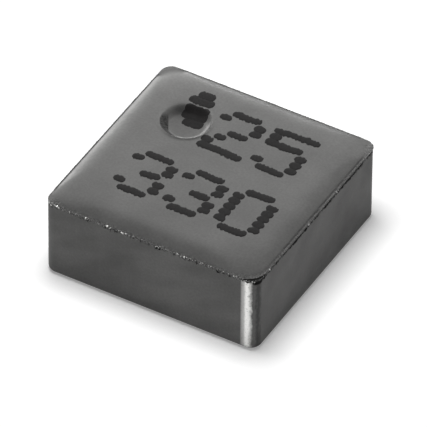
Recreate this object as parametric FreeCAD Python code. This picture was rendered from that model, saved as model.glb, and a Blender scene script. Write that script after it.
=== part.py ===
import FreeCAD, Part
import math
import os

from FreeCAD import Vector

# A shielded power inductor for surface mounting: a block of pressed and cured alloy powder
# round an enamelled copper winding, which sits on a T-shaped powder core.
# Millimetres. +Z is up, and the origin is the middle of the block, in the plane of the solder faces.

# Moulded block
body_length = 3.0
body_width = 3.0
overall_height = 1.2
corner_radius = 0.15
bottom_edge_radius = 0.05
shoulder_width = 0.38
shoulder_drop = 0.065
shoulder_power = 3.5
shoulder_sections = 7
crown_corner_radius = 0.27
crown_corner_growth = 1.5

# Start mark, pressed into the top face
dimple_x = -0.71
dimple_y = 0.61
dimple_diameter = 0.65
dimple_floor_diameter = 0.43
dimple_depth = 0.055

# Plated solder terminals on the underside
terminal_thickness = 0.02
terminal_length = 0.9
terminal_width = 2.6
terminal_edge_margin = 0.1
terminal_corner_radius = 0.06

# Core
post_diameter = 1.0
plate_thickness = 0.25
plate_margin = 0.09
plate_corner_radius = 0.05

# Winding, of flat wire wound on edge
wire_width = 0.6
wire_thickness = 0.065
turn_gap = 0.015
climbs = 7
climb_sections = 9
post_clearance = 0.01
cavity_clearance = 0.01
lead_clearance = 0.02
lead_bend_radius = 0.09
lead_flat_length = 0.6

# How far the middle of a quarter arc lies from the corner of its square, for a radius of 1
arc_inset = 1 - math.sqrt(0.5)

# Sizes that follow from those above
pitch = wire_thickness + turn_gap
post_radius = post_diameter / 2
underside_z = terminal_thickness
plate_top_z = underside_z + plate_thickness
coil_inner_radius = post_radius + post_clearance
coil_middle_radius = coil_inner_radius + wire_width / 2
winding_radius = coil_inner_radius + wire_width
winding_height = climbs * pitch + wire_thickness
climb_half_angle = math.degrees(math.asin((coil_inner_radius - lead_clearance) / winding_radius))
plate_half = winding_radius + plate_margin
lead_drop_y = -(plate_half - wire_thickness / 2)
lead_under_z = underside_z + wire_thickness / 2
terminal_x = body_length / 2 - terminal_edge_margin - terminal_length / 2
edge_z = overall_height - shoulder_drop


def rounded_rectangle(length, width, radius, z):
    """Closed wire of a rounded rectangle about the Z axis, counter-clockwise from its lower right corner."""
    x, y = length / 2, width / 2
    cut = radius * arc_inset
    corners = ((x, -y, 1, -1), (x, y, 1, 1), (-x, y, -1, 1), (-x, -y, -1, -1))
    arcs = []
    for cx, cy, sx, sy in corners:
        along_x = Vector(cx - sx * radius, cy, z)
        along_y = Vector(cx, cy - sy * radius, z)
        middle = Vector(cx - sx * cut, cy - sy * cut, z)
        ends = (along_x, along_y) if sx * sy < 0 else (along_y, along_x)
        arcs.append(Part.Arc(ends[0], middle, ends[1]).toShape())
    edges = []
    for index, arc in enumerate(arcs):
        following = arcs[(index + 1) % len(arcs)]
        edges.append(arc)
        edges.append(Part.makeLine(arc.lastVertex().Point, following.firstVertex().Point))
    return Part.Wire(edges)


def prism(length, width, radius, z_low, z_high):
    """Upright block with rounded corners."""
    outline = rounded_rectangle(length, width, radius, z_low)
    return Part.Face(outline).extrude(Vector(0, 0, z_high - z_low))


def centred_box(x_low, x_high, y_low, y_high, z_low, z_high):
    """Plain box between two corners."""
    size = (x_high - x_low, y_high - y_low, z_high - z_low)
    return Part.makeBox(*size, Vector(x_low, y_low, z_low))


# Moulded block

def block_walls():
    """Side walls up to the sharp rim, with the rounded bottom edge."""
    walls = prism(body_length, body_width, corner_radius, underside_z, edge_z)
    bottom = [e for e in walls.Edges if e.BoundBox.ZMax < underside_z + bottom_edge_radius]
    return walls.makeFillet(bottom_edge_radius, bottom)


def pressed_crown():
    """The punch side of the block: a flat face that rolls off to the rim, with wider corners inside."""
    sections = []
    for index in range(shoulder_sections):
        share = (index / (shoulder_sections - 1)) ** 2
        inset = shoulder_width * share
        drop = shoulder_drop * (1 - share) ** shoulder_power
        radius = crown_corner_radius + crown_corner_growth * inset
        outline = (body_length - 2 * inset, body_width - 2 * inset, radius)
        sections.append(rounded_rectangle(*outline, overall_height - drop))
    return Part.makeLoft(sections, True, False)


def dimple_cutter():
    """Shallow dish: a flat floor with a wall that curves up to the top face."""
    top, floor = overall_height, overall_height - dimple_depth
    rim, flat = dimple_diameter / 2, dimple_floor_diameter / 2
    above = dimple_depth
    wall_radius = ((rim - flat) ** 2 + dimple_depth ** 2) / (2 * dimple_depth)
    half_way = math.asin((rim - flat) / wall_radius) / 2
    across, up = wall_radius * math.sin(half_way), wall_radius * (1 - math.cos(half_way))
    middle = Vector(flat + across, 0, floor + up)
    profile = [
        Part.makeLine(Vector(0, 0, floor), Vector(flat, 0, floor)),
        Part.Arc(Vector(flat, 0, floor), middle, Vector(rim, 0, top)).toShape(),
        Part.makeLine(Vector(rim, 0, top), Vector(rim, 0, top + above)),
        Part.makeLine(Vector(rim, 0, top + above), Vector(0, 0, top + above)),
        Part.makeLine(Vector(0, 0, top + above), Vector(0, 0, floor)),
    ]
    dish = Part.Face(Part.Wire(profile)).revolve(Vector(), Vector(0, 0, 1), 360)
    dish.translate(Vector(dimple_x, dimple_y, 0))
    return dish


def winding_space():
    """Room for the turns, from the plate to the top of the post."""
    radius = winding_radius + cavity_clearance
    height = winding_height + cavity_clearance
    return Part.makeCylinder(radius, height, Vector(0, 0, plate_top_z))


# Core

def core_blank():
    """Square plate with the round post on it, before the wire's notches and grooves."""
    side = 2 * plate_half
    plate = prism(side, side, plate_corner_radius, underside_z, plate_top_z)
    post_height = plate_thickness + winding_height + cavity_clearance
    post = Part.makeCylinder(post_radius, post_height, Vector(0, 0, underside_z))
    return plate.fuse(post).removeSplitter()


def lead_passage(side):
    """Notch through the plate's front edge and the shallow groove behind it, under one terminal."""
    x_low = side * coil_middle_radius - wire_width / 2
    x_high = x_low + wire_width
    notch_back = lead_drop_y + lead_bend_radius
    groove_end = notch_back + lead_flat_length
    below = underside_z - wire_thickness
    notch = centred_box(x_low, x_high, -plate_half, notch_back, below, plate_top_z)
    groove = centred_box(x_low, x_high, lead_drop_y, groove_end, below, underside_z + wire_thickness)
    return notch.fuse(groove)


# Winding

def turn_z(turn):
    """Height of the underside of one turn."""
    return plate_top_z + turn * pitch


def wire_section(angle, z):
    """Upright section of the wire at an angle about the post, counter-clockwise from +X."""
    outward = Vector(math.cos(math.radians(angle)), math.sin(math.radians(angle)), 0)
    low, high = Vector(0, 0, z), Vector(0, 0, z + wire_thickness)
    inner, outer = outward * coil_inner_radius, outward * winding_radius
    return Part.makePolygon([inner + low, outer + low, outer + high, inner + high, inner + low])


def flat_turn(turn, angle_from, angle_to):
    """The level stretch of one turn."""
    section = Part.Face(wire_section(angle_from, turn_z(turn)))
    return section.revolve(Vector(), Vector(0, 0, 1), angle_to - angle_from)


def climb(turn, angle_from, angle_to):
    """The stretch at the front where the wire rises smoothly from one turn to the next."""
    sections = []
    for index in range(climb_sections):
        share = index / (climb_sections - 1)
        rise = pitch * share * share * (3 - 2 * share)
        angle = angle_from + (angle_to - angle_from) * share
        sections.append(wire_section(angle, turn_z(turn) + rise))
    return Part.makeLoft(sections, True, False)


def lead(side, z):
    """Flat end of the wire: level from the turns, down past the plate's edge and back under the plate."""
    x, bend = side * coil_middle_radius, lead_bend_radius
    cut = bend * arc_inset
    y, low, high = lead_drop_y, lead_under_z, z + wire_thickness / 2
    tip = Vector(x, y + bend + lead_flat_length, low)
    under = Vector(x, y + bend, low)
    lower = Vector(x, y, low + bend)
    upper = Vector(x, y, high - bend)
    over = Vector(x, y + bend, high)
    path = Part.Wire([
        Part.makeLine(tip, under),
        Part.Arc(under, Vector(x, y + cut, low + cut), lower).toShape(),
        Part.makeLine(lower, upper),
        Part.Arc(upper, Vector(x, y + cut, high - cut), over).toShape(),
        Part.makeLine(over, Vector(x, 0, high)),
    ])
    across, up = Vector(wire_width / 2, 0, 0), Vector(0, 0, wire_thickness / 2)
    corners = [tip - across - up, tip + across - up, tip + across + up, tip - across + up]
    section = Part.makePolygon(corners + corners[:1])
    return path.makePipeShell([section], True, False)


def both_leads():
    """The first turn's lead under the start terminal, and the last turn's under the other."""
    return [lead(-1, turn_z(0)), lead(1, turn_z(climbs))]


def winding():
    """The whole wire: turns that run clockwise as they rise, joined by climbs at the front."""
    right_of_front = climb_half_angle - 90
    left_of_front = 270 - climb_half_angle
    stretches = both_leads()
    for turn in range(climbs + 1):
        angle_from = 0 if turn == climbs else right_of_front
        angle_to = 180 if turn == 0 else left_of_front
        stretches.append(flat_turn(turn, angle_from, angle_to))
    for turn in range(climbs):
        stretches.append(climb(turn, right_of_front, left_of_front - 360))
    return stretches[0].multiFuse(stretches[1:]).removeSplitter()


# Terminals

def terminal(side):
    """Plated pad on the underside, at one end."""
    pad = prism(terminal_length, terminal_width, terminal_corner_radius, 0, terminal_thickness)
    pad.translate(Vector(side * terminal_x, 0, 0))
    return pad


def build():
    """The named pieces, each as one solid."""
    passages = [lead_passage(-1), lead_passage(1)]
    core = core_blank().cut(passages[0]).cut(passages[1])
    plate_side = 2 * plate_half
    plate_space = prism(plate_side, plate_side, plate_corner_radius, underside_z, plate_top_z)
    block = block_walls().fuse(pressed_crown()).removeSplitter()
    block = block.cut(dimple_cutter())
    block = block.cut(plate_space)
    block = block.cut(winding_space())
    for one_lead in both_leads():
        block = block.cut(one_lead)
    return {
        "moulded_body": block,
        "t_core": core,
        "winding": winding(),
        "terminal_start": terminal(-1),
        "terminal_finish": terminal(1),
    }


os.makedirs("parts", exist_ok=True)
for name, shape in build().items():
    solid = shape.Solids[0] if len(shape.Solids) == 1 else shape
    solid.exportStep("parts/" + name + ".step")
    print(name, len(shape.Solids), "solid", round(solid.Volume, 4), "mm3", "valid", solid.isValid())
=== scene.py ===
"""Looks of a shielded power inductor: pressed powder block, printed marks, terminals and stage."""

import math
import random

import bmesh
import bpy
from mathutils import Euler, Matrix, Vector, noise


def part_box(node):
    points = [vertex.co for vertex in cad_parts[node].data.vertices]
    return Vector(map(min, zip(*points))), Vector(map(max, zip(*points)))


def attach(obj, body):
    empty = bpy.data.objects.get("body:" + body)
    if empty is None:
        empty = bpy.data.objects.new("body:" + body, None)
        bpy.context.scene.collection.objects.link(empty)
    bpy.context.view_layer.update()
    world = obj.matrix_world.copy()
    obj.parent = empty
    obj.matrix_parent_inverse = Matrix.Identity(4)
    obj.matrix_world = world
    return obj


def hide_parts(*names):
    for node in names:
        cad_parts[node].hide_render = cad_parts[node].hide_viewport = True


bl_info = {
    "name": "Shielded Inductor",
    "version": (1, 0, 0),
    "blender": (4, 5, 0),
    "location": "3D Viewport > Sidebar > Inductor",
    "description": "Builds the pressed block, its marks, its solder terminals and a plain stage",
    "category": "Object",
}

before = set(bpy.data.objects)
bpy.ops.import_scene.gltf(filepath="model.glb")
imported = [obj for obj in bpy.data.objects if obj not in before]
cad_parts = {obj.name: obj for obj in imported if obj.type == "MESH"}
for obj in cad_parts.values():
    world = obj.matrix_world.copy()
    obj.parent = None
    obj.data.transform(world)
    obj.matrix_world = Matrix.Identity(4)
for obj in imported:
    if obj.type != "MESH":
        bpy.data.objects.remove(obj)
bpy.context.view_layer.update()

MM = 0.001
TINY = 1e-12
BLOCK_LOW, BLOCK_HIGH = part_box("moulded_body")
HALF = BLOCK_HIGH[0]
PLATE_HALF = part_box("t_core")[1][0]
# Top of the core's square plate, where the frame's box ends at the top of the post
PLATE_TOP = 0.27 * MM
SHARP_ANGLE = math.radians(40)
BOTTOM_STEPS = 6

# Loose grains on the parting line: side, how many, share of bright ones
GRAIN_SEED = 7
GRAINS = (("front", 420, 0.3), ("right", 90, 0.15), ("back", 12, 0.1), ("left", 12, 0.1))
# Freshly broken chips: side, place along it in mm
CHIPS = (
    ("front", -1.42), ("front", -1.29), ("front", -1.11), ("front", -0.88), ("front", -0.57),
    ("front", -0.41), ("front", -0.36), ("front", 0.1), ("front", 0.5), ("front", 1.2),
    ("right", -1.15), ("right", -0.2), ("right", 0.5),
)

# Lamps: name, azimuth from +X and elevation in degrees, distance and sides in mm, watts, and
# whether it is a card, which only shows in reflections
LAMPS = (
    ("overhead", 172, 85.2, 20, (8.5, 8.5), 0.0034, False),
    ("low_card", 135, 10, 60, (50, 15), 0.027, True),
    ("high_card", 110, 36, 15, (28, 7.5), 0.0011, True),
)
# Black flags: name, azimuth, elevation, distance and sides, as for the lamps
FLAGS = (
    ("right_flag", 30, 18, 60, (52, 50)),
    ("front_flag", -25, 58, 60, (44, 40)),
)


# Sizes and colours that a user would change

class BlockSizes(bpy.types.PropertyGroup):
    """Form of the pressed block."""
    cells: bpy.props.IntProperty(
        name="Cells", description="Grid cells along one side of the top face", default=240, min=80)
    corner_radius: bpy.props.FloatProperty(
        name="Corner radius", description="Radius of the upright corners", default=0.15 * MM,
        unit="LENGTH")
    # The rubbed band is bare metal whose brightness is painted to stand for the front corner's
    # highlight
    rubbed_highlight_reach: bpy.props.FloatProperty(
        name="Rubbed reach",
        description="How far the rubbed band runs past the rounding of the front corner",
        default=0.075 * MM, unit="LENGTH")
    bottom_radius: bpy.props.FloatProperty(
        name="Bottom radius", description="Rounding of the bottom edge", default=0.05 * MM,
        unit="LENGTH")
    shoulder_width: bpy.props.FloatProperty(
        name="Shoulder width", description="How far the top face rolls off towards the rim",
        default=0.38 * MM, unit="LENGTH")
    shoulder_drop: bpy.props.FloatProperty(
        name="Shoulder drop", description="Height of the flat top over the rim", default=0.065 * MM,
        unit="LENGTH")
    shoulder_power: bpy.props.FloatProperty(
        name="Shoulder power", description="How much of the drop lies close to the rim",
        default=3.5)
    crown_corner_radius: bpy.props.FloatProperty(
        name="Crown corner", description="Corner radius of the top face at the rim",
        default=0.27 * MM, unit="LENGTH")
    crown_corner_growth: bpy.props.FloatProperty(
        name="Crown corner growth", description="Extra corner radius for each unit of inset",
        default=1.5)
    lip_out: bpy.props.FloatProperty(
        name="Lip", description="How far the burr on the parting line stands out",
        default=0.009 * MM, unit="LENGTH")
    lip_height: bpy.props.FloatProperty(
        name="Lip height", description="Thickness of the burr", default=0.014 * MM, unit="LENGTH")
    gap_depth: bpy.props.FloatProperty(
        name="Gap depth", description="Depth of the dark gap under the burr", default=0.008 * MM,
        unit="LENGTH")
    gap_height: bpy.props.FloatProperty(
        name="Gap height", description="Height of the gap under the burr", default=0.032 * MM,
        unit="LENGTH")
    plate_radius: bpy.props.FloatProperty(
        name="Plate corner", description="Radius of the core plate's corners", default=0.05 * MM,
        unit="LENGTH")
    groove_depth: bpy.props.FloatProperty(
        name="Groove", description="Depth of the groove inside the burr", default=0.008 * MM,
        unit="LENGTH")
    groove_width: bpy.props.FloatProperty(
        name="Groove width", description="Half of the width of the groove inside the burr",
        default=0.009 * MM, unit="LENGTH")
    # Painted shade along the outermost line of the top, where it rolls off at the back and the left
    edge_shade: bpy.props.FloatProperty(
        name="Edge wear",
        description="How dark the outermost line of the top is at the back and the left",
        default=0.8)
    edge_shade_width: bpy.props.FloatProperty(
        name="Wear width", description="Width of the dark outermost line of the top",
        default=0.024 * MM, unit="LENGTH")
    ledge_drop: bpy.props.FloatProperty(
        name="Ledge drop", description="Depth of the ledge at the corners below the rim",
        default=0.012 * MM, unit="LENGTH")
    speckle_width: bpy.props.FloatProperty(
        name="Speckle width", description="Width of the speckled line inside the burr",
        default=0.028 * MM, unit="LENGTH")
    rim_band: bpy.props.FloatProperty(
        name="Rim band", description="Width of the band along the rim with a finer grid",
        default=0.1 * MM, unit="LENGTH")


class DimpleSizes(bpy.types.PropertyGroup):
    """Round start mark pressed into the top."""
    centre_x: bpy.props.FloatProperty(
        name="Centre X", description="Place of the dimple across", default=-0.71 * MM,
        unit="LENGTH")
    centre_y: bpy.props.FloatProperty(
        name="Centre Y", description="Place of the dimple along", default=0.61 * MM, unit="LENGTH")
    radius: bpy.props.FloatProperty(
        name="Radius", description="Outer radius of the dimple", default=0.325 * MM, unit="LENGTH")
    floor_radius: bpy.props.FloatProperty(
        name="Floor radius", description="Radius of the flat floor", default=0.215 * MM,
        unit="LENGTH")
    depth: bpy.props.FloatProperty(
        name="Depth", description="Depth of the floor below the top", default=0.055 * MM,
        unit="LENGTH")
    lip: bpy.props.FloatProperty(
        name="Lip", description="Height of the raised ring round the dimple", default=0.007 * MM,
        unit="LENGTH")
    lip_width: bpy.props.FloatProperty(
        name="Lip width", description="Width of the raised ring round the dimple",
        default=0.025 * MM, unit="LENGTH")
    gentle_side: bpy.props.FloatProperty(
        name="Gentle side", description="Direction in which the wall is widest",
        default=math.radians(135), subtype="ANGLE")
    skew: bpy.props.FloatProperty(
        name="Skew", description="How much wider the wall is on its gentle side", default=0.1)
    # The crescent, the soft patch and the darker floor of the dimple are painted shade
    crescent_side: bpy.props.FloatProperty(
        name="Scuff side", description="Direction of the dark scuff on the wall",
        default=math.radians(210), subtype="ANGLE")
    crescent_start: bpy.props.FloatProperty(
        name="Scuff start", description="Distance of the scuff's straight edge from the centre",
        default=0.2145 * MM, unit="LENGTH")
    crescent_half: bpy.props.FloatProperty(
        name="Scuff half", description="Half of the length of the scuff", default=0.15 * MM,
        unit="LENGTH")
    crescent_level: bpy.props.FloatProperty(
        name="Scuff level", description="How dark the scuff is", default=0.5)
    shade_side: bpy.props.FloatProperty(
        name="Shade side", description="Direction of the soft dark patch on the back wall",
        default=math.radians(132), subtype="ANGLE")
    shade_level: bpy.props.FloatProperty(
        name="Shade level", description="How dark the soft patch is", default=0.4)
    floor_level: bpy.props.FloatProperty(
        name="Floor level", description="How much darker the floor of the dimple is than the top",
        default=0.1)


class MarkSizes(bpy.types.PropertyGroup):
    """Printed marks, drawn as rows of short dashes."""
    value_text: bpy.props.StringProperty(
        name="Value", description="Digits of the lower line", default="330")
    batch_text: bpy.props.StringProperty(
        name="Batch", description="Digits of the upper line, after the dot", default="25")
    row_pitch: bpy.props.FloatProperty(
        name="Row pitch", description="Distance between the rows of dots", default=0.1175 * MM,
        unit="LENGTH")
    column_pitch: bpy.props.FloatProperty(
        name="Column pitch", description="Distance between the columns of dots", default=0.119 * MM,
        unit="LENGTH")
    digit_pitch: bpy.props.FloatProperty(
        name="Digit pitch", description="Distance from one digit to the next", default=0.71 * MM,
        unit="LENGTH")
    dot_length: bpy.props.FloatProperty(
        name="Dot length", description="Size of one dot along its row", default=0.162 * MM,
        unit="LENGTH")
    dot_height: bpy.props.FloatProperty(
        name="Dot height", description="Size of one dot across its row", default=0.116 * MM,
        unit="LENGTH")
    bleed: bpy.props.FloatProperty(
        name="Bleed", description="How far a dot runs towards the one above or below it",
        default=0.03 * MM, unit="LENGTH")
    unevenness: bpy.props.FloatProperty(
        name="Unevenness", description="How much the edges of a dash come and go",
        default=0.024 * MM, unit="LENGTH")
    wander: bpy.props.FloatProperty(
        name="Wander", description="How far a dash strays from its row", default=0.02 * MM,
        unit="LENGTH")
    height: bpy.props.FloatProperty(
        name="Height", description="How far a dash stands over the top", default=0.003 * MM,
        unit="LENGTH")
    value_x: bpy.props.FloatProperty(
        name="Value X", description="Left end of the lower line", default=-0.96 * MM, unit="LENGTH")
    value_y: bpy.props.FloatProperty(
        name="Value Y", description="Lowest row of the lower line", default=-0.848 * MM,
        unit="LENGTH")
    batch_x: bpy.props.FloatProperty(
        name="Batch X", description="Left end of the upper digits", default=-0.4 * MM,
        unit="LENGTH")
    batch_y: bpy.props.FloatProperty(
        name="Batch Y", description="Lowest row of the upper digits", default=0.333 * MM,
        unit="LENGTH")
    dot_x: bpy.props.FloatProperty(
        name="Dot X", description="Middle of the start dot", default=-0.66 * MM, unit="LENGTH")
    dot_y: bpy.props.FloatProperty(
        name="Dot Y", description="Lowest row of the start dot", default=0.66 * MM, unit="LENGTH")


class Finishes(bpy.types.PropertyGroup):
    """Colours of the materials."""
    powder: bpy.props.FloatVectorProperty(
        name="Powder", description="Colour of the pressed powder", subtype="COLOR", size=3,
        default=(0.082, 0.0815, 0.080))
    core: bpy.props.FloatVectorProperty(
        name="Core", description="Colour of the core plate", subtype="COLOR", size=3,
        default=(0.085, 0.083, 0.08))
    ink: bpy.props.FloatVectorProperty(
        name="Marks", description="Colour of the printed marks", subtype="COLOR", size=3,
        default=(0.0075, 0.007, 0.007))
    tin: bpy.props.FloatVectorProperty(
        name="Tin", description="Colour of the plating", subtype="COLOR", size=3,
        default=(0.72, 0.71, 0.68))
    copper: bpy.props.FloatVectorProperty(
        name="Copper", description="Colour of the enamelled wire", subtype="COLOR", size=3,
        default=(0.56, 0.2, 0.09))


class StageSizes(bpy.types.PropertyGroup):
    """Camera, floor and even light."""
    azimuth: bpy.props.FloatProperty(
        name="Azimuth", description="Direction of the camera about the block",
        default=math.radians(29.68), subtype="ANGLE")
    elevation: bpy.props.FloatProperty(
        name="Elevation", description="Height of the camera over the floor as an angle",
        default=math.radians(41.64), subtype="ANGLE")
    roll: bpy.props.FloatProperty(
        name="Roll", description="Turn of the camera about its own axis",
        default=math.radians(0.52), subtype="ANGLE")
    distance: bpy.props.FloatProperty(
        name="Distance", description="Distance from the camera to the aim", default=117.45 * MM,
        unit="LENGTH")
    lens: bpy.props.FloatProperty(
        name="Lens", description="Focal length in millimetres on a 36 mm sensor", default=804.3)
    aim_height: bpy.props.FloatProperty(
        name="Aim height", description="Height of the aim on the block's axis", default=0.6 * MM,
        unit="LENGTH")
    aim_right: bpy.props.FloatProperty(
        name="Aim right", description="Shift of the aim across the picture", default=0.0345 * MM,
        unit="LENGTH")
    aim_up: bpy.props.FloatProperty(
        name="Aim up", description="Shift of the aim up the picture", default=-0.103 * MM,
        unit="LENGTH")
    floor_side: bpy.props.FloatProperty(
        name="Floor side", description="Side of the square floor", default=600 * MM, unit="LENGTH")
    floor_glow: bpy.props.FloatProperty(
        name="Floor glow", description="How much light the floor gives towards the camera",
        default=0.25)
    world_light: bpy.props.FloatProperty(
        name="World light", description="Strength of the even light on dull surfaces",
        default=0.15)


# Mesh helpers

def new_piece(name, bm, material, slot, *nodes):
    """Turns a bmesh into a shaded piece that rides on the frame, in place of the given nodes."""
    mesh = bpy.data.meshes.new(name)
    bm.to_mesh(mesh)
    bm.free()
    mesh.shade_smooth()
    mesh.set_sharp_from_angle(angle=SHARP_ANGLE)
    piece = bpy.data.objects.new(name, mesh)
    bpy.context.scene.collection.objects.link(piece)
    mesh.materials.append(material)
    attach(piece, "root")
    if nodes:
        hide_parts(*nodes)


def on_ring(u, v, half, radius):
    """Moves a point of a square onto a rounded ring of the given half size and corner radius."""
    reach = max(abs(u), abs(v), TINY)
    x, y = u / reach * half, v / reach * half
    straight = half - radius
    cx = max(-straight, min(straight, x))
    cy = max(-straight, min(straight, y))
    away = Vector((x - cx, y - cy))
    if away.length < TINY:
        return Vector((x, y))
    away.normalize()
    return Vector((cx, cy)) + away * radius


def roughly(x, y, scale, seed):
    """Smooth repeatable noise about zero, with features of the given size."""
    return noise.noise(Vector((x / scale, y / scale, seed)))


# Form of the top

# Painted shade of the dark crescent on the dimple's wall: softness of its straight edge, size and
# seed of its speckle, how strong the speckle is, and how much darker its straight edge is
CRESCENT_SOFTNESS = 0.01 * MM
CRESCENT_NOISE = (0.025 * MM, 31.0)
CRESCENT_SPECKLE = 0.9
CRESCENT_LINE = 0.45
# Soft patch of painted shade in the dimple: distance from the centre and size, as shares of the
# dimple's radius
PATCH_PLACE = 0.78
PATCH_SIZE = 0.3
# Power for shapes that stay level and then fall off fast
STEEP_POWER = 6
# How much closer the grid's lines lie at the rim, and where the groove lies, in its half widths
RIM_SQUEEZE = 0.55
GROOVE_PLACE = 2
# How far round the dimple the grid is twice as fine, as a share of its radius
FINE_REACH = 1.3


def dimple_offset(across, along, sizes):
    """Height of the top near the dimple. Its wall is steep in front and gentle behind."""
    distance = math.hypot(across, along)
    if distance > 2 * sizes.radius:
        return 0.0
    angle = math.atan2(along, across)
    gentle = (1 + math.cos(angle - sizes.gentle_side)) / 2
    floor = sizes.floor_radius * (1 + sizes.skew * (1 - 2 * gentle))
    lip = sizes.lip * (1 - gentle)
    if distance < sizes.radius:
        width, drop = sizes.radius - floor, sizes.depth + lip
        share = max(0.0, distance - floor) / width
        bend = (width * width + drop * drop) / (2 * drop)
        steep = (bend - math.sqrt(bend * bend - (share * width) ** 2)) / drop
        soft = share * share * (3 - 2 * share)
        return -sizes.depth + drop * (steep + (soft - steep) * gentle)
    away = (distance - sizes.radius) / sizes.lip_width
    return lip * math.exp(-away * away)


def dimple_shade(across, along, sizes):
    """Painted shade in the dimple: a dark crescent at the left, a soft patch behind, a darker
    floor.
    """
    distance = math.hypot(across, along)
    if distance > 2 * sizes.radius:
        return 0.0
    c, s = math.cos(sizes.crescent_side), math.sin(sizes.crescent_side)
    past = (across * c + along * s - sizes.crescent_start) / CRESCENT_SOFTNESS
    beside = abs(along * c - across * s) / sizes.crescent_half
    crescent = 0.0
    if past > 0 and distance < sizes.radius:
        speckle = CRESCENT_SPECKLE * roughly(across, along, *CRESCENT_NOISE)
        edge = CRESCENT_LINE * math.exp(-past * past / 2)
        level = sizes.crescent_level * (1 + speckle + edge)
        crescent = level * math.exp(-beside ** STEEP_POWER) * min(1.0, past)
    middle = PATCH_PLACE * sizes.radius
    patch_x, patch_y = middle * math.cos(sizes.shade_side), middle * math.sin(sizes.shade_side)
    away = math.hypot(across - patch_x, along - patch_y) / (PATCH_SIZE * sizes.radius)
    soft = sizes.shade_level * math.exp(-away ** 2)
    floor = sizes.floor_level * math.exp(-(distance / sizes.floor_radius) ** STEEP_POWER)
    return max(0.0, min(1.0, crescent + soft + floor))


def crown_inset(x, y, block):
    """How far inside the rim the ring of the top face through this point lies."""
    start, growth = block.crown_corner_radius, block.crown_corner_growth
    inset = HALF - max(abs(x), abs(y))
    past = [abs(place) - HALF + start for place in (x, y)]
    if min(past) + (1 + growth) * inset < 0:
        return inset
    # Round a corner, the ring is an arc whose radius grows with the inset
    square = 2 * (1 + growth) ** 2 - growth ** 2
    linear = 2 * (1 + growth) * sum(past) - 2 * growth * start
    constant = past[0] ** 2 + past[1] ** 2 - start ** 2
    return (math.sqrt(linear ** 2 - 4 * square * constant) - linear) / (2 * square)


def top_height(x, y, inset, block, dimple):
    """Height of the pressed top: flat, rolled off towards the rim, with the dimple."""
    over = max(0.0, 1 - inset / block.shoulder_width)
    height = BLOCK_HIGH[2] - block.shoulder_drop * over ** block.shoulder_power
    return height + dimple_offset(x - dimple.centre_x, y - dimple.centre_y, dimple)


def place_top(u, v, block, dimple):
    """Point of the top face for a point of the flat square grid."""
    inset = HALF - max(abs(u), abs(v))
    inset *= 1 - RIM_SQUEEZE * math.exp(-inset / block.rim_band)
    reach = HALF - inset
    radius = block.crown_corner_radius
    radius += block.crown_corner_growth * min(inset, block.shoulder_width)
    if inset > block.shoulder_width:
        radius *= reach / (HALF - block.shoulder_width)
    flat = on_ring(u, v, reach, radius)
    height = top_height(flat.x, flat.y, inset, block, dimple)
    groove = inset / block.groove_width - GROOVE_PLACE
    height -= block.groove_depth * math.exp(-groove * groove) * lip_strength(u, v)
    return Vector((flat.x, flat.y, height))


# Burr on the parting line

# A point is on a side of the square when it reaches past this share of the way out
ON_SIDE = 0.999
# Size and seed of the fine and the coarse noise along the rim
LIP_NOISE = ((0.022 * MM, 3.0), (0.16 * MM, 8.0))
GAP_NOISE = ((0.028 * MM, 13.0), (0.2 * MM, 18.0))
# For each side: level, fine and coarse noise of the burr, the same for the gap under it,
# and how speckled the rim is
RIM = {
    "front": ((0.2, 1.3, 0.8), (0.12, 1.4, 0.5), 1.0),
    "right": ((0.9, 0.8, 0.9), (0.9, 0.9, 0.8), 0.85),
    "back": ((0.15, 0.4, 0.3), (0.1, 0.5, 0.0), 0.15),
    "left": ((0.15, 0.4, 0.3), (0.1, 0.5, 0.0), 0.15),
}
GAP_MOST = 1.3
# The gap round the front corner: how deep, and how far it reaches
CORNER_GAP = 0.55
CORNER_GAP_REACH = 0.17 * MM
# A corner of the top counts in full from a quarter of its radius on
CORNER_RISE = 4
# At the back corner the line of painted shade is paler and wider by these shares
CORNER_FADE = 0.5
CORNER_SPREAD = 1.3
# Rise of the burr's crest, and reach and drop of its foot, as shares of the burr's own sizes
CREST_RISE = 0.3
FOOT_OUT = 0.8
FOOT_DROP = (0.4, 0.6)
# Height of the gap and place of the wall's head below it, as shares of the gap's height
GAP_LEAST = 0.2
HEAD_DROP = (0.3, 1.15)
# How dark the painted shade is in the gap, on the front corner's ledge and on the rest of the ledge
GAP_DARK = 0.75
FRONT_LEDGE_DARK = 0.75
LEDGE_DARK = 0.2
# Depth of the ledge at the other three corners, as a share of the front one's
OTHER_LEDGES = 0.2


def side_of(u, v):
    """Side of the square rim that a point belongs to."""
    reach = ON_SIDE * max(abs(u), abs(v))
    if v < -reach:
        return "front"
    if u > reach:
        return "right"
    return "back" if v > reach else "left"


def rim_level(u, v, shares, noises):
    """Uneven level along the rim, from its mean and its shares of fine and coarse noise."""
    mean, fine, coarse = shares
    return mean + fine * roughly(u, v, *noises[0]) + coarse * roughly(u, v, *noises[1])


def lip_strength(u, v):
    """How strongly the burr stands out at one place: broken in front, a thin line on the right."""
    return max(0.0, min(1.0, rim_level(u, v, RIM[side_of(u, v)][0], LIP_NOISE)))


def gap_strength(u, v):
    """How deep the gap under the burr is at one place, deepest round the front corner."""
    corner = math.hypot(u - HALF, v + HALF) / CORNER_GAP_REACH
    strength = CORNER_GAP * math.exp(-corner * corner)
    strength += rim_level(u, v, RIM[side_of(u, v)][1], GAP_NOISE)
    return max(0.0, min(GAP_MOST, strength))


def burr_share(u, v):
    """How speckled the rim is at one place."""
    return RIM[side_of(u, v)][2]


def corner_share(u, v, block):
    """1 over the corners of the top face, 0 along its straight sides."""
    flat = on_ring(u, v, HALF, block.crown_corner_radius)
    past = min(abs(flat.x), abs(flat.y)) - HALF + block.crown_corner_radius
    return max(0.0, min(1.0, CORNER_RISE * past / block.crown_corner_radius))


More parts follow.
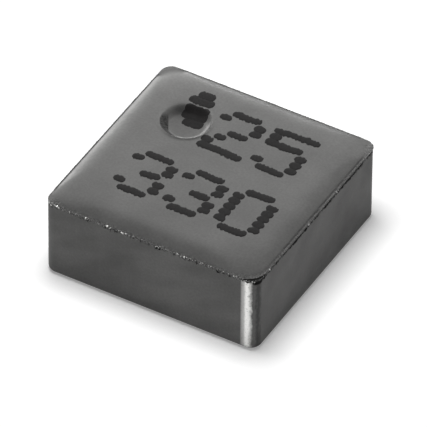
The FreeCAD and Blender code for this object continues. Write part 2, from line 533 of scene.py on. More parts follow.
def corner_place(x, y, block):
    """Place across a corner and a little past it: 0 on the front or back wall, 1 on the side."""
    radius, past = block.corner_radius, block.rubbed_highlight_reach
    straight = HALF - radius
    past_x, past_y = abs(x) - straight, abs(y) - straight
    arc = radius * math.pi / 2
    if past_x > 0 and past_y > 0:
        run = past + math.atan2(past_x, past_y) * radius
    elif past_x > 0:
        run = past + arc - past_y
    else:
        run = past + past_x
    return max(0.0, min(1.0, run / (arc + 2 * past)))


def edge_shade_at(u, v, block):
    """How dark and how wide the painted shade on the outermost line of the top is. The front and
    the right have none.
    """
    if side_of(u, v) in ("front", "right"):
        return 0.0, block.edge_shade_width
    share = corner_share(u, v, block)
    if v < 0 or u > 0:
        return block.edge_shade * (1 - share), block.edge_shade_width
    painted_edge_shade = block.edge_shade * (1 - CORNER_FADE * share)
    return painted_edge_shade, block.edge_shade_width * (1 + CORNER_SPREAD * share)


# Pressed block

def build_top(bm, levels, block, dimple):
    """Grid pressed into the shape of the top. Gives its open edges and their places on the grid."""
    bmesh.ops.create_grid(bm, x_segments=block.cells, y_segments=block.cells, size=HALF)
    centre = Vector((dimple.centre_x, dimple.centre_y))
    reach = FINE_REACH * dimple.radius
    near = [e for e in bm.edges if all((v.co.xy - centre).length < reach for v in e.verts)]
    bmesh.ops.subdivide_edges(bm, edges=near, cuts=1, use_grid_fill=True)
    edges = [edge for edge in bm.edges if edge.is_boundary]
    square = {vert: (vert.co.x, vert.co.y) for edge in edges for vert in edge.verts}
    for vert in bm.verts:
        u, v = vert.co.x, vert.co.y
        vert.co = place_top(u, v, block, dimple)
        x, y = vert.co.x, vert.co.y
        inset = crown_inset(x, y, block)
        speckled = inset / block.speckle_width
        vert[levels["burr"]] = burr_share(u, v) * math.exp(-speckled * speckled)
        # Painted shade along the top's outermost line and in the dimple is kept in the gap
        # attribute
        painted_edge_shade, width = edge_shade_at(u, v, block)
        line = inset / width
        painted_dimple_shade = dimple_shade(x - dimple.centre_x, y - dimple.centre_y, dimple)
        vert[levels["gap"]] = max(painted_dimple_shade, painted_edge_shade * math.exp(-line ** 3))
    return edges, square


def block_rings(block):
    """Rings below the top, in order from the rim to the roof of the recess for the core plate.

    Each has a function for its distance out, height and corner radius, a function for how much
    painted shade it has, and its shares of wall finish, rubbed corner with its painted light, and
    burr.
    """
    radius, low = block.corner_radius, BLOCK_LOW[2]
    rim_z = BLOCK_HIGH[2] - block.shoulder_drop

    def plain(u, v):
        return 0.0

    # Painted shade in the gap under the burr
    def in_gap(u, v):
        return min(1.0, GAP_DARK * gap_strength(u, v))

    # Painted shade on the ledge: a dark crease round the front corner, faint elsewhere
    def in_ledge(u, v):
        if u > 0 > v:
            return FRONT_LEDGE_DARK * corner_share(u, v, block)
        return LEDGE_DARK * in_gap(u, v)

    def ledge_z(u, v):
        depth = block.ledge_drop * corner_share(u, v, block)
        return rim_z - depth * (1.0 if u > 0 > v else OTHER_LEDGES)

    def ledge(u, v):
        return 0.0, ledge_z(u, v), block.crown_corner_radius

    def crest(u, v):
        strength = lip_strength(u, v)
        rise = CREST_RISE * block.lip_height * strength
        return block.lip_out * strength, ledge_z(u, v) + rise, radius

    def lip_foot(u, v):
        strength = lip_strength(u, v)
        drop = block.lip_height * (FOOT_DROP[0] + FOOT_DROP[1] * strength)
        return FOOT_OUT * block.lip_out * strength, rim_z - drop, radius

    def gap_wall(share):
        """Ring on the inner face of the gap, from its top at 0 to its bottom at 1."""
        def ring(u, v):
            strength = gap_strength(u, v)
            drop = share * block.gap_height * (GAP_LEAST + strength)
            return -block.gap_depth * strength, rim_z - block.lip_height - drop, radius
        return ring

    def wall_head(below):
        """Ring at the top of the plain wall, lower by the given length."""
        def ring(u, v):
            gap = block.gap_height * (HEAD_DROP[0] + HEAD_DROP[1] * gap_strength(u, v))
            return 0.0, rim_z - (block.lip_height + gap) - below, radius
        return ring

    def bottom_edge(share):
        """Ring of the rounded bottom edge, from the wall at 0 to the underside at 1."""
        angle = share * math.pi / 2
        inset = block.bottom_radius * (1 - math.cos(angle))
        z = low + block.bottom_radius * (1 - math.sin(angle))
        return lambda u, v: (-inset, z, radius)

    def recess(z):
        """Ring round the core plate."""
        inset = HALF - PLATE_HALF
        return lambda u, v: (-inset, z, block.plate_radius + inset)

    rings = [
        (ledge, in_ledge, 0.0, 0.0, 1.0),
        (crest, in_ledge, 0.0, 0.0, 1.0),
        (lip_foot, in_gap, 1.0, 0.0, 1.0),
        (gap_wall(0.0), in_gap, 1.0, 0.0, 1.0),
        (gap_wall(1.0), in_gap, 1.0, 0.0, 1.0),
        (wall_head(0.0), plain, 1.0, 1.0, 1.0),
        (wall_head(block.gap_height), plain, 1.0, 1.0, 0.0),
    ]
    for step in range(BOTTOM_STEPS + 1):
        share = step / BOTTOM_STEPS
        rings.append((bottom_edge(share), plain, 1.0, 1 - share, 0.0))
    rings += [(recess(z), plain, 1.0, 0.0, 0.0) for z in (low, PLATE_TOP)]
    return rings


def add_ring(bm, edges, square, levels, ring, block):
    """Extrudes the open edge onto one ring. Gives the new open edge and its places on the grid."""
    place_of, gap_of, wall, rubbed_painted_light, burr = ring
    made = bmesh.ops.extrude_edge_only(bm, edges=edges)["geom"]
    new_edges = [g for g in made if isinstance(g, bmesh.types.BMEdge) and g.is_boundary]
    following = {}
    for vert in {v for e in new_edges for v in e.verts}:
        others = (edge.other_vert(vert) for edge in vert.link_edges)
        u, v = following[vert] = next(square[other] for other in others if other in square)
        out, z, radius = place_of(u, v)
        flat = on_ring(u, v, HALF + out, radius + out)
        vert.co = (flat.x, flat.y, z)
        vert[levels["gap"]] = gap_of(u, v)
        vert[levels["wall"]] = wall
        vert[levels["burr"]] = burr * burr_share(u, v)
        vert[levels["corner"]] = corner_place(flat.x, flat.y, block)
        # Only the front corner gets the rubbed metal with its painted highlight and its strip of
        # painted shade
        vert[levels["rubbed_painted_light"]] = rubbed_painted_light if u > 0 > v else 0.0
    return new_edges, following


def build_block(block, dimple, material):
    """Top, burr, walls, rounded bottom edge and the recess that holds the core plate."""
    bm = bmesh.new()
    names = ("gap", "wall", "corner", "rubbed_painted_light", "burr")
    levels = {name: bm.verts.layers.float.new(name) for name in names}
    edges, square = build_top(bm, levels, block, dimple)
    for ring in block_rings(block):
        edges, square = add_ring(bm, edges, square, levels, ring, block)
    bmesh.ops.contextual_create(bm, geom=edges)
    bmesh.ops.recalc_face_normals(bm, faces=bm.faces)
    new_piece("pressed_block", bm, material, "powder_block", "moulded_body")


# Radius of a grain and of a chip as shares of the burr's height, and how bright each is
GRAIN_RADII, GRAIN_SHINE = (0.25, 0.65), (0.2, 0.7)
CHIP_RADII, CHIP_SHINE = (0.5, 1.0), (0.6, 1.0)
# Chips at each place, and how far they scatter in mm
CHIP_COUNT, CHIP_SCATTER = 3, 0.03
# Depth of a grain below the rim as shares of the burr's height
GRAIN_DROPS = (-0.3, 1.6)
# Length, width and thickness of a grain as shares of its radius
GRAIN_LENGTHS, GRAIN_WIDTHS, GRAIN_THICKNESS = (0.9, 1.4), (0.6, 1.0), 0.8


def build_grains(block, material):
    """Grains that cling to the burr, densest in front, and bright chips freshly broken off it."""
    bm = bmesh.new()
    fresh = bm.verts.layers.float.new("fresh")
    draw = random.Random(GRAIN_SEED)
    rim_z = BLOCK_HIGH[2] - block.shoulder_drop
    spots = []
    for side, count, bright in GRAINS:
        for _ in range(count):
            level = draw.uniform(*GRAIN_SHINE) if draw.random() < bright else 0.0
            spots.append((side, draw.uniform(-HALF, HALF), draw.uniform(*GRAIN_RADII), level))
    for side, along in CHIPS:
        for _ in range(CHIP_COUNT):
            near = along * MM + draw.uniform(-CHIP_SCATTER, CHIP_SCATTER) * MM
            spots.append((side, near, draw.uniform(*CHIP_RADII), draw.uniform(*CHIP_SHINE)))
    for side, along, share, level in spots:
        u, v = {"front": (along, -HALF), "right": (HALF, along),
                "back": (along, HALF), "left": (-HALF, along)}[side]
        flat = on_ring(u, v, HALF, block.corner_radius)
        drop = block.lip_height * draw.uniform(*GRAIN_DROPS)
        place = Matrix.Translation((flat.x, flat.y, rim_z - drop))
        turn = Euler([draw.uniform(0, math.tau) for _ in range(3)]).to_matrix().to_4x4()
        length, width = draw.uniform(*GRAIN_LENGTHS), draw.uniform(*GRAIN_WIDTHS)
        stretch = Matrix.Diagonal((length, width, GRAIN_THICKNESS, 1.0))
        made = bmesh.ops.create_icosphere(
            bm, subdivisions=1, radius=share * block.lip_height,
            matrix=place @ turn @ stretch)["verts"]
        for vert in made:
            vert[fresh] = level
    new_piece("burr_grains", bm, material, "powder_block")


# Printed marks

DIGITS = {
    "0": (".###.", "#...#", "#...#", "#...#", "#...#", "#...#", ".###."),
    "1": ("..#..", ".##..", "..#..", "..#..", "..#..", "..#..", ".###."),
    "2": (".###.", "#...#", "....#", "..##.", ".#...", "#....", "#####"),
    "3": (".###.", "#...#", "....#", "..##.", "....#", "#...#", ".###."),
    "4": ("...#.", "..##.", ".#.#.", "#..#.", "#####", "...#.", "...#."),
    "5": ("#####", "#....", "####.", "....#", "....#", "#...#", ".###."),
    "6": ("..##.", ".#...", "#....", "####.", "#...#", "#...#", ".###."),
    "7": ("#####", "....#", "...#.", "..#..", ".#...", ".#...", ".#..."),
    "8": (".###.", "#...#", "#...#", ".###.", "#...#", "#...#", ".###."),
    "9": (".###.", "#...#", "#...#", ".####", "....#", "...#.", ".##.."),
}
# Rows of the start dot in mm: height over the lowest, left end, right end, size across
DOT_ROWS = (
    (0.0, -0.125, 0.15, 0.15),
    (0.12, -0.2, 0.142, 0.145),
    (0.215, -0.205, 0.13, 0.125),
    (0.362, -0.235, 0.11, 0.142),
    (0.478, -0.17, 0.06, 0.145),
)
# Grid of a dash: size of a step along it, least number of them, and steps across
DASH_STEP, LEAST_STEPS, STEPS_ACROSS = 0.008 * MM, 16, 8
# Powers of the rounding of a dash's ends, its back and the bleed of a dot
END_POWER, DOME_POWER, BLEED_POWER = 2.6, 4, 4
# Size and seed of the noise in a dash's edges and in its line, and how far apart its two edges
# are in that noise
EDGE_NOISE, STRAY_NOISE = (0.03 * MM, 21.0), (0.3 * MM, 9.0)
EDGES_APART = 0.3 * MM
# Least and most share of the bleed for a dot and of the height for a dash
BLEED_SHARES, HEIGHT_SHARES = (0.3, 1.2), (0.92, 1.1)
WELD = 0.0001 * MM


def runs(row):
    """First and last column of each unbroken run of a digit's row."""
    found = []
    for column, mark in enumerate(row):
        if mark != "#":
            continue
        if found and found[-1][1] == column - 1:
            found[-1][1] = column
        else:
            found.append([column, column])
    return found


def add_dash(bm, first, last, y, height, joined, marks, block, dimple):
    """One dash that lies on the top, from the first dot's centre to the last one's.

    The joined function gives how far the edge runs out at a place, below (-1) and above (1).
    """
    end = marks.dot_length / 2
    middle, half = (first + last) / 2, (last - first) / 2 + end
    steps = max(LEAST_STEPS, int(2 * half / DASH_STEP))
    made = bmesh.ops.create_grid(bm, x_segments=steps, y_segments=STEPS_ACROSS, size=1.0)["verts"]
    for vert in made:
        x = middle + half * math.sin(vert.co.x * math.pi / 2)
        side = 1 if vert.co.y > 0 else -1
        past = min(1.0, max(0.0, first - x, x - last) / end)
        cap = (1 - past ** END_POWER) ** (1 / END_POWER)
        ragged = marks.unevenness * roughly(x, y + side * EDGES_APART, *EDGE_NOISE)
        width = cap * (height / 2 + ragged + joined(x, side))
        stray = marks.wander * roughly(x, y, *STRAY_NOISE)
        across = y + stray + width * vert.co.y
        dome = marks.height * (1 - vert.co.y ** DOME_POWER) * min(1.0, 2 * cap)
        inset = crown_inset(x, across, block)
        vert.co = Vector((x, across, top_height(x, across, inset, block, dimple) + dome))


def finish_marks(name, bm, marks, material):
    """Closes the dashes into thin solids and makes them one piece."""
    bmesh.ops.remove_doubles(bm, verts=bm.verts, dist=WELD)
    bmesh.ops.solidify(bm, geom=bm.faces[:], thickness=2 * marks.height)
    bmesh.ops.recalc_face_normals(bm, faces=bm.faces)
    new_piece(name, bm, material, "powder_block")


def bleed_of(rows, index, start, marks, draw):
    """Gives the function for how far a row's dots run into the dots above and below."""
    reach = {}
    for side in (-1, 1):
        for column, mark in enumerate(rows[index]):
            other = index + side
            meets = mark == "#" and 0 <= other < len(rows) and rows[other][column] == "#"
            reach[side, column] = marks.bleed * draw.uniform(*BLEED_SHARES) if meets else 0.0

    def joined(x, side):
        column = round((x - start) / marks.column_pitch)
        away = (x - start) / marks.column_pitch - column
        return reach.get((side, column), 0.0) * (1 - (2 * away) ** BLEED_POWER)
    return joined


def build_line(name, text, left, low, marks, block, dimple, material):
    """One line of digits, in rows of dashes from the lowest up."""
    bm = bmesh.new()
    draw = random.Random(name)
    for place, digit in enumerate(text):
        start = left + place * marks.digit_pitch + marks.dot_length / 2
        rows = DIGITS[digit][::-1]
        for index, row in enumerate(rows):
            y = low + index * marks.row_pitch
            joined = bleed_of(rows, index, start, marks, draw)
            for first, last in runs(row):
                ends = (start + first * marks.column_pitch, start + last * marks.column_pitch)
                height = marks.dot_height * draw.uniform(*HEIGHT_SHARES)
                add_dash(bm, *ends, y, height, joined, marks, block, dimple)
    finish_marks(name, bm, marks, material)


def build_dot(marks, block, dimple, material):
    """Start dot: a blot of merged rows that follows the top over the edge of the dimple."""
    bm = bmesh.new()
    end = marks.dot_length / 2
    for up, left, right, height in DOT_ROWS:
        ends = (marks.dot_x + left * MM + end, marks.dot_x + right * MM - end)
        y = marks.dot_y + up * MM
        add_dash(bm, *ends, y, height * MM, lambda x, side: 0.0, marks, block, dimple)
    finish_marks("start_dot", bm, marks, material)


# Terminals

# Radius and steps of a pad's upright corners, and of the soft edge round its solder face
PAD_CORNER, PAD_CORNER_STEPS = 0.06 * MM, 8
PAD_EDGE, PAD_EDGE_STEPS = 0.012 * MM, 4


def round_edges(bm, edges, radius, steps):
    """Bevels the edges with a round profile."""
    bmesh.ops.bevel(
        bm, geom=edges, offset=radius, segments=steps, profile=0.5, affect="EDGES", material=-1)


def build_pad(node_name, material):
    """Plated pad with a soft edge, in the place of a terminal."""
    low, high = (Vector(corner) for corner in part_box(node_name))
    size, middle = high - low, (low + high) / 2
    bm = bmesh.new()
    bmesh.ops.create_cube(bm, size=1.0)
    bmesh.ops.scale(bm, vec=size, verts=bm.verts)
    bmesh.ops.translate(bm, vec=middle, verts=bm.verts)
    upright = [e for e in bm.edges if abs(e.verts[0].co.z - e.verts[1].co.z) > size.z / 2]
    round_edges(bm, upright, PAD_CORNER, PAD_CORNER_STEPS)
    under = [e for e in bm.edges if all(v.co.z < low.z + size.z / 10 for v in e.verts)]
    round_edges(bm, under, PAD_EDGE, PAD_EDGE_STEPS)
    bmesh.ops.recalc_face_normals(bm, faces=bm.faces)
    new_piece(node_name.replace("terminal", "pad"), bm, material, "tin_plating", node_name)


# Materials

# Plain noise seldom leaves the range between these two
NOISE_RANGE = (0.3, 0.7)
# Shades over the wall's level and slanting streaks, and how steeply the slanting ones rise
LEVEL_STREAKS = ((0.35, 0.93), (0.65, 1.13))
SLANT_STREAKS = ((0.38, 0.93), (0.62, 1.1))
STREAK_RISE = math.radians(22)
# Shades over the crumbs along the rim, and over the flecks in the rubbed band of painted highlight
CRUMBS = ((0.36, 0.3), (0.47, 0.85), (0.56, 1.2), (0.66, 2.0))
FLECKS = ((0.36, 0.6), (0.43, 1.0))
# Share of noise and level in the place across the corner, which makes the band's edges ragged
RAGGED_SHARE, RAGGED_LEVEL = 0.36, 0.82
# Rubbed metal band with a painted highlight, and a strip of painted shade beside it,
# by place across the corner from the front to the right wall
RUBBED_HIGHLIGHT_BAND = (
    (0.014, 0.0), (0.036, 0.18), (0.07, 0.3), (0.106, 0.38), (0.143, 0.45), (0.18, 0.72),
    (0.216, 0.88), (0.268, 0.88), (0.311, 0.78), (0.344, 0.6), (0.373, 0.42), (0.405, 0.2),
    (0.443, 0.0),
)
PAINTED_SHADE_STRIP = ((0.51, 0.0), (0.58, 0.8), (0.645, 1.0), (0.7, 0.6), (0.775, 0.0))
# Greys of the painted shade in the strip and in the gap, and the light metal of the rubbed band,
# which is brightened into a painted highlight, and of fresh chips
PAINTED_STRIP_SHADE, GAP_SHADE = 0.42, 0.004
RUBBED_HIGHLIGHT_METAL, FRESH_METAL = (0.85, 0.85, 0.83, 1.0), (0.9, 0.9, 0.88, 1.0)
# Metallic share and reflection tint of the powder, roughness of the rubbed band and the gap
POWDER_METALLIC, POWDER_TINT = 0.7, 0.55
RUBBED_ROUGHNESS, GAP_ROUGHNESS = 0.3, 0.9


def grey(level):
    """Opaque grey."""
    return (level, level, level, 1.0)


def feed(tree, socket, value):
    """Links a socket to another one, or sets it to a constant."""
    if isinstance(value, bpy.types.NodeSocket):
        tree.links.new(value, socket)
    else:
        socket.default_value = value


def fill(tree, made, **values):
    """Feeds a node's inputs by name, with _ for a space."""
    for key, value in values.items():
        feed(tree, made.inputs[key.replace("_", " ")], value)


def node(tree, kind, **values):
    """Adds a shader node and feeds its inputs by name."""
    made = tree.nodes.new(kind)
    fill(tree, made, **values)
    return made


def combined(tree, operation, *values):
    """Math node on sockets and constants."""
    made = tree.nodes.new("ShaderNodeMath")
    made.operation = operation
    for socket, value in zip(made.inputs, values):
        feed(tree, socket, value)
    return made.outputs[0]


def mixed(tree, blend, factor, first, second):
    """Mix node on colours. Each of factor, first and second is a socket or a constant."""
    made = tree.nodes.new("ShaderNodeMix")
    made.data_type = "RGBA"
    made.blend_type = blend
    for index, value in ((0, factor), (6, first), (7, second)):
        feed(tree, made.inputs[index], value)
    return made.outputs[2]


def ramp(tree, source, stops):
    """Maps a value through stops of (place, grey level)."""
    made = node(tree, "ShaderNodeValToRGB", Fac=source)
    elements = made.color_ramp.elements
    while len(elements) < len(stops):
        elements.new(0.5)
    for element, (place, level) in zip(elements, stops):
        element.position = place
        element.color = grey(level)
    return made.outputs["Color"]


def attribute(tree, name):
    """Value of a mesh attribute."""
    made = tree.nodes.new("ShaderNodeAttribute")
    made.attribute_name = name
    return made.outputs["Fac"]


def grain(tree, coordinates, size, detail, roughness=0.5, stretch=(1, 1, 1), turn=(0, 0, 0)):
    """Noise with features of the given size in metres, stretched along the turned axes."""
    mapping = node(
        tree, "ShaderNodeMapping", Vector=coordinates,
        Scale=[1 / share for share in stretch], Rotation=turn)
    mapping.vector_type = "TEXTURE"
    made = node(
        tree, "ShaderNodeTexNoise", Vector=mapping.outputs["Vector"],
        Scale=1 / size, Detail=detail, Roughness=roughness)
    return made.outputs["Fac"]


def noisy(tree, coordinates, size, detail, levels):
    """Noise that runs between two levels."""
    return ramp(tree, grain(tree, coordinates, size, detail), list(zip(NOISE_RANGE, levels)))


def speckled(tree, coordinates, base, size, detail, shades):
    """Colour times noise that runs between two shades."""
    return mixed(tree, "MULTIPLY", 1.0, base, noisy(tree, coordinates, size, detail, shades))


def bumped(tree, coordinates, size, depth, strength, **before):
    """Normal of a surface that is uneven at the given size, over an earlier Normal if given."""
    height = grain(tree, coordinates, size, detail=2.0)
    made = node(
        tree, "ShaderNodeBump", Height=height, Distance=depth, Strength=strength, **before)
    return made.outputs["Normal"]


def start_material(name):
    """Empty node material with its shader, tree and object coordinates."""
    material = bpy.data.materials.new(name)
    material.use_nodes = True
    tree = material.node_tree
    shader = tree.nodes["Principled BSDF"]
    coordinates = tree.nodes.new("ShaderNodeTexCoord").outputs["Object"]
    return material, tree, shader, coordinates


def powder_colour(tree, coordinates, colour):
    """Colour of the block: mottled and grainy, streaked on its walls, crumbled along its rim."""
    mottle = speckled(
        tree, coordinates, (*colour, 1.0), size=0.5 * MM, detail=3.0, shades=(0.9, 1.08))
    base = speckled(tree, coordinates, mottle, size=0.03 * MM, detail=3.0, shades=(0.9, 1.08))
    level = grain(tree, coordinates, size=0.6 * MM, detail=2.0, stretch=(1.0, 1.0, 0.35))
    slant = grain(
        tree, coordinates, size=0.35 * MM, detail=1.0, stretch=(0.35, 0.35, 1.4),
        turn=(STREAK_RISE, -STREAK_RISE, 0))
    wall = mixed(tree, "MULTIPLY", 1.0, base, ramp(tree, level, LEVEL_STREAKS))
    wall = mixed(tree, "MULTIPLY", 1.0, wall, ramp(tree, slant, SLANT_STREAKS))
    base = mixed(tree, "MIX", attribute(tree, "wall"), base, wall)
    crumb = grain(tree, coordinates, size=0.02 * MM, detail=3.0, roughness=0.7)
    crumbled = mixed(tree, "MULTIPLY", 1.0, base, ramp(tree, crumb, CRUMBS))
    return mixed(tree, "MIX", attribute(tree, "burr"), base, crumbled)


def corner_bands(tree, coordinates):
    """Rubbed metal band that carries a painted highlight, and a strip of painted shade beside it,
    down the front corner.
    """
    ragged = grain(tree, coordinates, size=0.035 * MM, detail=2.0, stretch=(1.0, 1.0, 0.4))
    spread = combined(tree, "MULTIPLY_ADD", ragged, RAGGED_SHARE, RAGGED_LEVEL)
    place = combined(tree, "MULTIPLY", attribute(tree, "corner"), spread)
    fleck = grain(tree, coordinates, size=0.03 * MM, detail=3.0, roughness=0.7)
    band = ramp(tree, place, RUBBED_HIGHLIGHT_BAND)
    band = mixed(tree, "MULTIPLY", 1.0, band, ramp(tree, fleck, FLECKS))
    strip = ramp(tree, place, PAINTED_SHADE_STRIP)
    return [mixed(tree, "MULTIPLY", 1.0, one, attribute(tree, "rubbed_painted_light")) for one in (band, strip)]


def powder_material(colour):
    """Pressed alloy powder: satin dark grey, with painted shade in the gap, on the ledges, along
    the top's outer line and in the dimple, and a rubbed front corner with a painted highlight.
    """
    material, tree, shader, coordinates = start_material("pressed_powder")
    gap = attribute(tree, "gap")
    rubbed_painted_light, strip_shade = corner_bands(tree, coordinates)
    base = powder_colour(tree, coordinates, colour)
    # Painted shade from the gap attribute: in the gap, on the ledges, along the top's outer line
    # and in the dimple
    base = mixed(tree, "MIX", gap, base, grey(GAP_SHADE))
    # Painted shade in the strip beside the corner's highlight
    base = mixed(tree, "MULTIPLY", strip_shade, base, grey(PAINTED_STRIP_SHADE))
    # Bright metal of the rubbed corner, placed and graded as a painted highlight
    base = mixed(tree, "MIX", rubbed_painted_light, base, RUBBED_HIGHLIGHT_METAL)
    metallic = mixed(tree, "MIX", rubbed_painted_light, grey(POWDER_METALLIC), grey(1.0))
    rough = noisy(tree, coordinates, size=0.2 * MM, detail=2.0, levels=(0.36, 0.42))
    rough = mixed(tree, "MIX", rubbed_painted_light, rough, grey(RUBBED_ROUGHNESS))
    rough = mixed(tree, "MIX", gap, rough, grey(GAP_ROUGHNESS))
    fine = bumped(tree, coordinates, size=0.012 * MM, depth=0.001 * MM, strength=0.4)
    normal = bumped(
        tree, coordinates, size=0.08 * MM, depth=0.002 * MM, strength=0.3, Normal=fine)
    fill(tree, shader, Base_Color=base, Metallic=metallic, Roughness=rough, Normal=normal)
    fill(tree, shader, Specular_Tint=grey(POWDER_TINT), IOR=1.6)
    return material


def grain_material(colour):
    """Loose grains of the same powder. The freshly broken ones shine."""
    material, tree, shader, coordinates = start_material("burr_grain")
    fresh = attribute(tree, "fresh")
    base = speckled(
        tree, coordinates, (*colour, 1.0), size=0.01 * MM, detail=2.0, shades=(0.8, 1.1))
    base = mixed(tree, "MIX", fresh, base, FRESH_METAL)
    fill(tree, shader, Base_Color=base, Metallic=fresh, Roughness=0.3)
    return material


def core_material(colour):
    """Pre-pressed core: grainier and more matte than the block."""
    material, tree, shader, coordinates = start_material("core_powder")
    base = speckled(
        tree, coordinates, (*colour, 1.0), size=0.03 * MM, detail=3.0, shades=(0.8, 1.15))
    normal = bumped(tree, coordinates, size=0.02 * MM, depth=0.002 * MM, strength=0.6)
    fill(tree, shader, Base_Color=base, Roughness=0.6, Normal=normal)
    return material


def ink_material(colour):
    """Printed marks: matte near-black with a slight cast."""
    material, tree, shader, coordinates = start_material("mark_ink")
    base = speckled(
        tree, coordinates, (*colour, 1.0), size=0.03 * MM, detail=2.0, shades=(0.7, 1.4))
    normal = bumped(tree, coordinates, size=0.02 * MM, depth=0.001 * MM, strength=0.5)
    fill(tree, shader, Base_Color=base, Roughness=0.75, IOR=1.25, Normal=normal)
    return material


def tin_material(colour):
    """Matte tin plating with faint grain."""
    material, tree, shader, coordinates = start_material("tin_plating")
    base = speckled(
        tree, coordinates, (*colour, 1.0), size=0.05 * MM, detail=3.0, shades=(0.85, 1.05))
    rough = noisy(tree, coordinates, size=0.1 * MM, detail=2.0, levels=(0.3, 0.45))
    normal = bumped(tree, coordinates, size=0.03 * MM, depth=0.002 * MM, strength=0.5)
    fill(tree, shader, Base_Color=base, Metallic=1.0, Roughness=rough, Normal=normal)
    return material


def copper_material(colour):
    """Copper under a clear enamel."""
    material, tree, shader, coordinates = start_material("enamelled_copper")
    base = speckled(
        tree, coordinates, (*colour, 1.0), size=0.05 * MM, detail=2.0, shades=(0.9, 1.05))
    fill(tree, shader, Base_Color=base, Metallic=1.0, Roughness=0.3, Coat_Weight=0.6)
    return material


# Stage

# Width of the camera's sensor in mm, and the range that it sees in metres
SENSOR_WIDTH, CLIP_RANGE = 36.0, (1 * MM, 2.0)


def facing_block(azimuth, elevation, distance):
    """Place at a distance in mm from the origin, turned to face it. Angles are in degrees."""
    a, e = math.radians(azimuth), math.radians(elevation)
    away = Vector((math.cos(a) * math.cos(e), math.sin(a) * math.cos(e), math.sin(e)))
    turn = away.to_track_quat("Z", "Y").to_matrix().to_4x4()
    return Matrix.Translation(away * distance * MM) @ turn


def add_lamp(name, azimuth, elevation, distance, sides, energy, card):
    """Area lamp that looks at the block. Cards only show in reflections, other lamps never do."""
    data = bpy.data.lights.new(name, "AREA")
    data.shape = "RECTANGLE"
    data.size, data.size_y = (side * MM for side in sides)
    data.energy = energy
    lamp = bpy.data.objects.new(name, data)
    bpy.context.scene.collection.objects.link(lamp)
    lamp.matrix_world = facing_block(azimuth, elevation, distance)
    lamp.visible_camera = False
    lamp.visible_diffuse = not card
    lamp.visible_glossy = card


def sheet(name, width, length, place, material):
    """Flat rectangle for the stage."""
    bm = bmesh.new()
    bmesh.ops.create_grid(bm, x_segments=1, y_segments=1, size=0.5)
    bmesh.ops.scale(bm, vec=(width, length, 1.0), verts=bm.verts)
    bmesh.ops.transform(bm, matrix=place, verts=bm.verts)
    mesh = bpy.data.meshes.new(name)
    bm.to_mesh(mesh)
    bm.free()
    mesh.materials.append(material)
    made = bpy.data.objects.new(name, mesh)
    bpy.context.scene.collection.objects.link(made)
    return made


def add_flag(name, azimuth, elevation, distance, sides):
    """Black flag that only shows in reflections."""
    black, _, shader, _ = start_material(name)
    shader.inputs["Base Color"].default_value = grey(0.0)
    width, length = (side * MM for side in sides)
    flag = sheet(name, width, length, facing_block(azimuth, elevation, distance), black)
    flag.visible_camera = flag.visible_diffuse = flag.visible_shadow = False


def background_share(tree):
    """1 for rays that should see the plain background."""
    path = tree.nodes.new("ShaderNodeLightPath")
    share = path.outputs["Is Camera Ray"]
    for name in ("Is Glossy Ray", "Is Transmission Ray"):
        share = combined(tree, "MAXIMUM", share, path.outputs[name])
    return share


def floor_material(glow):
    """White floor that still takes the block's shadow."""
    material, tree, shader, _ = start_material("floor_white")
    tree.nodes.remove(shader)
    strength = combined(tree, "MULTIPLY", background_share(tree), glow)
    matte = node(tree, "ShaderNodeBsdfDiffuse", Color=grey(0.9))
    light = node(tree, "ShaderNodeEmission", Color=grey(1.0), Strength=strength)
    both = tree.nodes.new("ShaderNodeAddShader")
    for socket, part in zip(both.inputs, (matte, light)):
        tree.links.new(part.outputs[0], socket)
    tree.links.new(both.outputs[0], tree.nodes["Material Output"].inputs["Surface"])
    return material


def white_world(strength):
    """Soft even world light, plain white to the camera and in reflections."""
    world = bpy.data.worlds.new("studio_white")
    world.use_nodes = True
    tree = world.node_tree
    span = node(
        tree, "ShaderNodeMapRange", Value=background_share(tree), To_Min=strength, To_Max=1.0)
    fill(tree, tree.nodes["Background"], Color=grey(1.0), Strength=span.outputs["Result"])
    return world


def place_camera(stage):
    """Long lens that looks down on the front corner."""
    a, e, r = stage.azimuth, stage.elevation, stage.roll
    back = Vector((math.sin(a) * math.cos(e), -math.cos(a) * math.cos(e), math.sin(e)))
    right = Vector((math.cos(a), math.sin(a), 0.0))
    up = back.cross(right)
    right_rolled = right * math.cos(r) + up * math.sin(r)
    up_rolled = up * math.cos(r) - right * math.sin(r)
    aim = Vector((0, 0, stage.aim_height)) + right * stage.aim_right + up * stage.aim_up
    data = bpy.data.cameras.new("camera")
    data.lens, data.sensor_width = stage.lens, SENSOR_WIDTH
    data.clip_start, data.clip_end = CLIP_RANGE
    camera = bpy.data.objects.new("camera", data)
    bpy.context.scene.collection.objects.link(camera)
    turn = Matrix((right_rolled, up_rolled, back)).transposed().to_4x4()
    camera.matrix_world = Matrix.Translation(aim + back * stage.distance) @ turn
    bpy.context.scene.camera = camera


def build_stage(scene):
    """Floor, world, lamps, flags and camera."""
    stage = scene.inductor_stage
    side = stage.floor_side
    floor = sheet("floor", side, side, Matrix.Identity(4), floor_material(stage.floor_glow))
    scene.world = white_world(stage.world_light)
    for lamp in LAMPS:
        add_lamp(*lamp)
    for flag in FLAGS:
        add_flag(*flag)
    place_camera(stage)
    scene.view_settings.view_transform = "Standard"


# Operators and panel

class INDUCTOR_OT_block(bpy.types.Operator):
    """Build the pressed block with its rolled-off top, dimple and burr"""
    bl_idname = "inductor.block"
    bl_label = "Pressed block"

    def execute(self, context):
        scene = context.scene
        powder = scene.inductor_finishes.powder
        build_block(scene.inductor_block, scene.inductor_dimple, powder_material(powder))
        build_grains(scene.inductor_block, grain_material(powder))
        return {"FINISHED"}


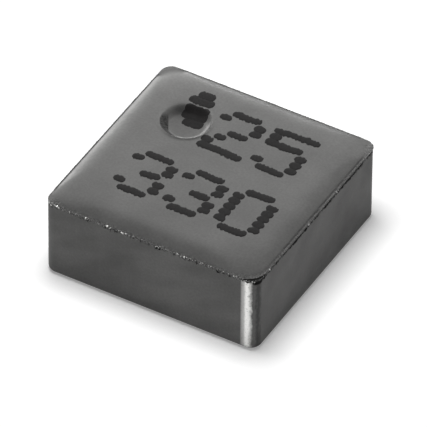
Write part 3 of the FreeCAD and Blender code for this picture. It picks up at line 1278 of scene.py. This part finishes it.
class INDUCTOR_OT_marks(bpy.types.Operator):
    """Print the value, the batch digits and the start dot on the top"""
    bl_idname = "inductor.marks"
    bl_label = "Printed marks"

    def execute(self, context):
        scene = context.scene
        marks = scene.inductor_marks
        shared = marks, scene.inductor_block, scene.inductor_dimple
        ink = ink_material(scene.inductor_finishes.ink)
        build_line("value_digits", marks.value_text, marks.value_x, marks.value_y, *shared, ink)
        build_line("batch_digits", marks.batch_text, marks.batch_x, marks.batch_y, *shared, ink)
        build_dot(*shared, ink)
        return {"FINISHED"}


class INDUCTOR_OT_terminals(bpy.types.Operator):
    """Build the two plated solder terminals"""
    bl_idname = "inductor.terminals"
    bl_label = "Solder terminals"

    def execute(self, context):
        tin = tin_material(context.scene.inductor_finishes.tin)
        for name in ("terminal_start", "terminal_finish"):
            build_pad(name, tin)
        return {"FINISHED"}


class INDUCTOR_OT_inside(bpy.types.Operator):
    """Give the core and the winding their finish"""
    bl_idname = "inductor.inside"
    bl_label = "Core and winding"

    def execute(self, context):
        finishes = context.scene.inductor_finishes
        for name, material in (
            ("t_core", core_material(finishes.core)),
            ("winding", copper_material(finishes.copper)),
        ):
            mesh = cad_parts[name].data
            mesh.materials.clear()
            mesh.materials.append(material)
        return {"FINISHED"}


class INDUCTOR_OT_stage(bpy.types.Operator):
    """Set up the floor, the lights and the camera"""
    bl_idname = "inductor.stage"
    bl_label = "Stage"

    def execute(self, context):
        build_stage(context.scene)
        return {"FINISHED"}


class INDUCTOR_PT_panel(bpy.types.Panel):
    """Sidebar panel with the inductor's pieces"""
    bl_label = "Shielded inductor"
    bl_idname = "INDUCTOR_PT_panel"
    bl_space_type = "VIEW_3D"
    bl_region_type = "UI"
    bl_category = "Inductor"

    def draw(self, context):
        layout = self.layout
        for operator in OPERATORS:
            layout.operator(operator.bl_idname)
        for name, group in GROUPS.items():
            box = layout.box()
            box.label(text=group.__doc__)
            for key in group.__annotations__:
                box.prop(getattr(context.scene, name), key)


GROUPS = {
    "inductor_block": BlockSizes,
    "inductor_dimple": DimpleSizes,
    "inductor_marks": MarkSizes,
    "inductor_finishes": Finishes,
    "inductor_stage": StageSizes,
}
OPERATORS = (
    INDUCTOR_OT_block,
    INDUCTOR_OT_marks,
    INDUCTOR_OT_terminals,
    INDUCTOR_OT_inside,
    INDUCTOR_OT_stage,
)
CLASSES = (*GROUPS.values(), *OPERATORS, INDUCTOR_PT_panel)


def register():
    """Registers the classes and hangs the sizes on the scene."""
    for cls in CLASSES:
        bpy.utils.register_class(cls)
    for name, group in GROUPS.items():
        setattr(bpy.types.Scene, name, bpy.props.PointerProperty(type=group))


def unregister():
    """Takes everything off again."""
    for name in GROUPS:
        delattr(bpy.types.Scene, name)
    for cls in reversed(CLASSES):
        bpy.utils.unregister_class(cls)


def main():
    register()
    bpy.ops.inductor.block()
    bpy.ops.inductor.marks()
    bpy.ops.inductor.terminals()
    bpy.ops.inductor.inside()
    bpy.ops.inductor.stage()


if __name__ == "__main__":
    main()
